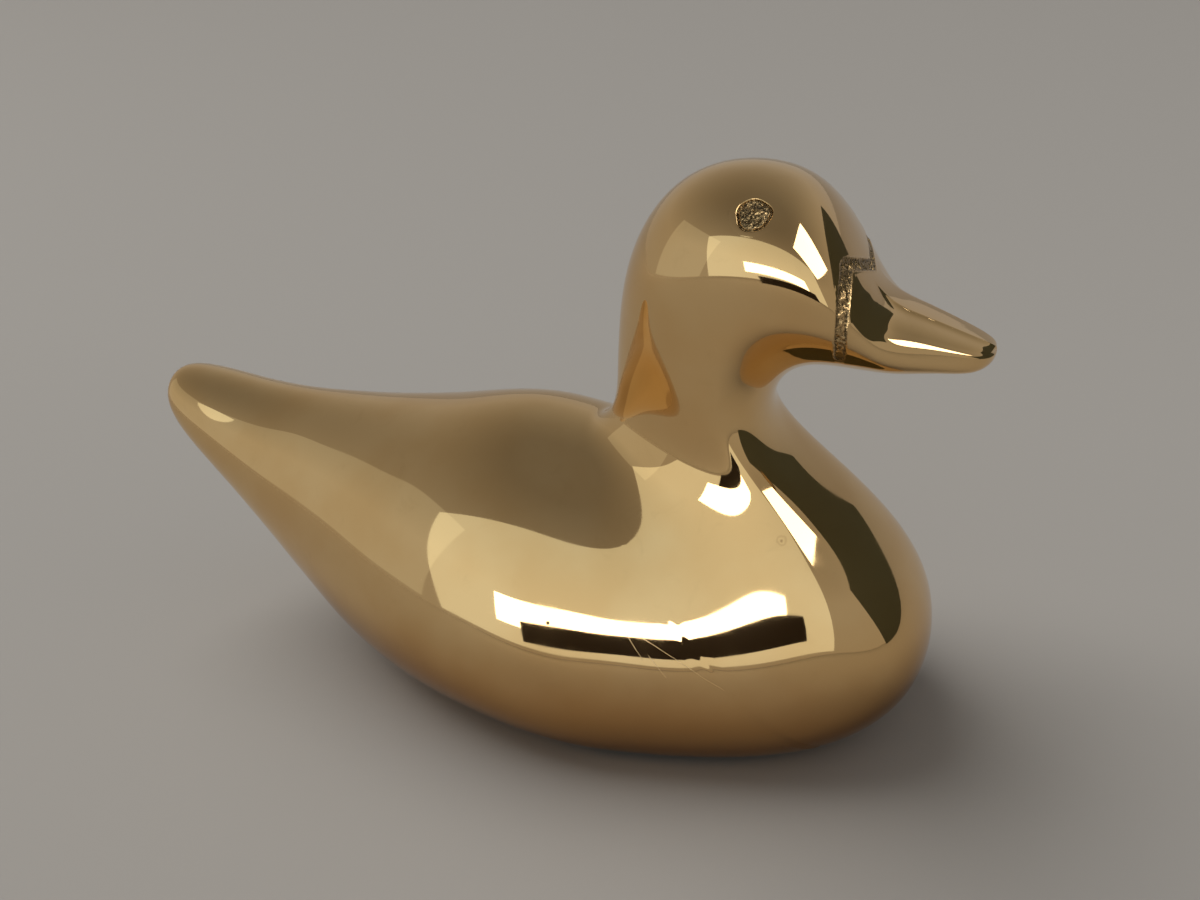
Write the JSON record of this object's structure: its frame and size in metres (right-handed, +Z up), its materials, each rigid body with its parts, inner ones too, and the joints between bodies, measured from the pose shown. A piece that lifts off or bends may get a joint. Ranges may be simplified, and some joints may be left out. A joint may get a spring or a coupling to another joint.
{
  "type": "duck paperweight",
  "caption": "Smooth polished brass duck paperweight with a blunt upturned tail, full breast, round head, flat bill and punched eyes, on a weighted felted base.",
  "frame": {"origin": "on the surface that the duck stands on, under the middle of its length and width", "axes": "+X towards the bill, +Y to the duck's left, +Z up"},
  "size_m": [0.1372, 0.061, 0.0822],
  "materials": {
    "polished_brass": "mirror polished, with fine scratches",
    "eye_brass": "stippled, with dark patina",
    "sheet_brass": "plain rolled sheet",
    "screw_steel": "plain machined",
    "ballast_iron": "as cast",
    "felt": "pressed wool felt"
  },
  "bodies": {
    "root": {"body_shell": "polished_brass", "head_shell": "polished_brass", "eye_right": "eye_brass", "eye_left": "eye_brass", "ballast": "ballast_iron", "ballast_screw": "screw_steel", "base_plate": "sheet_brass", "base_screw_front": "screw_steel", "base_screw_rear": "screw_steel", "felt_pad": "felt"}
  },
  "joints": []
}
